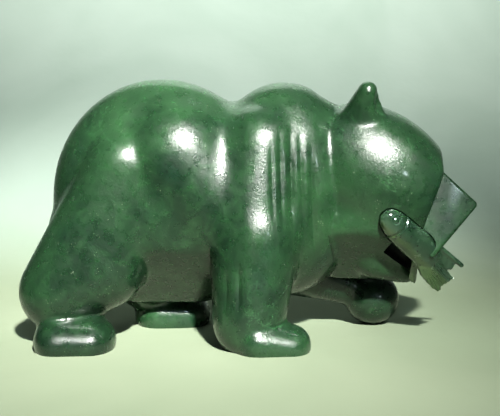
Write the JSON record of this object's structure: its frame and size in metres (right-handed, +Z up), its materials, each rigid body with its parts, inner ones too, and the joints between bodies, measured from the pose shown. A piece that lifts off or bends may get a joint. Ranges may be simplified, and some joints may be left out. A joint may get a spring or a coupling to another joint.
{
  "type": "carved jade bear figurine with a fish",
  "caption": "Polished green jade figurine of a walking bear with its head held low and a paler jade fish in its mouth. It stands by its own weight.",
  "frame": {"origin": "middle of the bounding box, on the ground under the paws", "axes": "+X towards the bear's nose, +Y to the bear's left, +Z up"},
  "size_m": [0.1456, 0.0606, 0.0824],
  "materials": {
    "green_jade": "gloss polish",
    "pale_jade": "gloss polish, a little translucent"
  },
  "bodies": {
    "root": {"bear": "green_jade", "fish": "pale_jade"}
  },
  "joints": []
}
